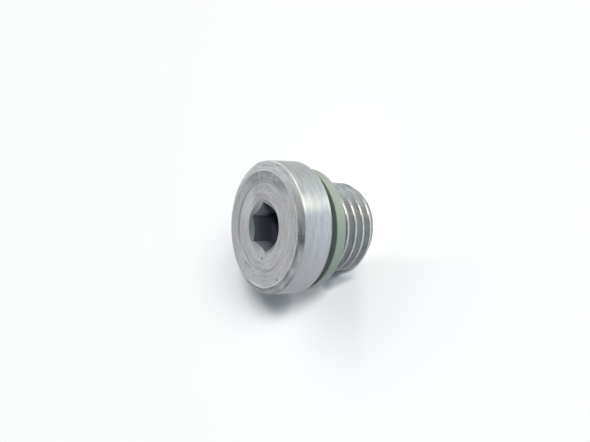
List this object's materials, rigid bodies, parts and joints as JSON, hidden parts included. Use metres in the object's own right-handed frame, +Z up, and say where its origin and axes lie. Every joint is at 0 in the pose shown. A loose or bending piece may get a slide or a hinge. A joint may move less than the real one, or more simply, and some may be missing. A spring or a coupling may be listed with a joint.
{
  "type": "oil drain plug",
  "caption": "Steel oil drain plug with a round flange head, a hexagon socket, a right-hand metric thread and a loose green seal ring on its neck.",
  "frame": {"origin": "middle of the thread end, where the plug's axis meets the surface it stands on", "axes": "+Z up along the plug's axis, from the thread end to the head's face; two corners of the hexagon socket on the X axis; the picture's side faces -Y"},
  "size_m": [0.0194, 0.0194, 0.0164],
  "materials": {
    "steel": "turned steel, fine turning marks on the face and rim",
    "elastomer": "matt grey green"
  },
  "bodies": {
    "root": {"plug_body": "steel", "seal_ring": "elastomer"}
  },
  "joints": []
}
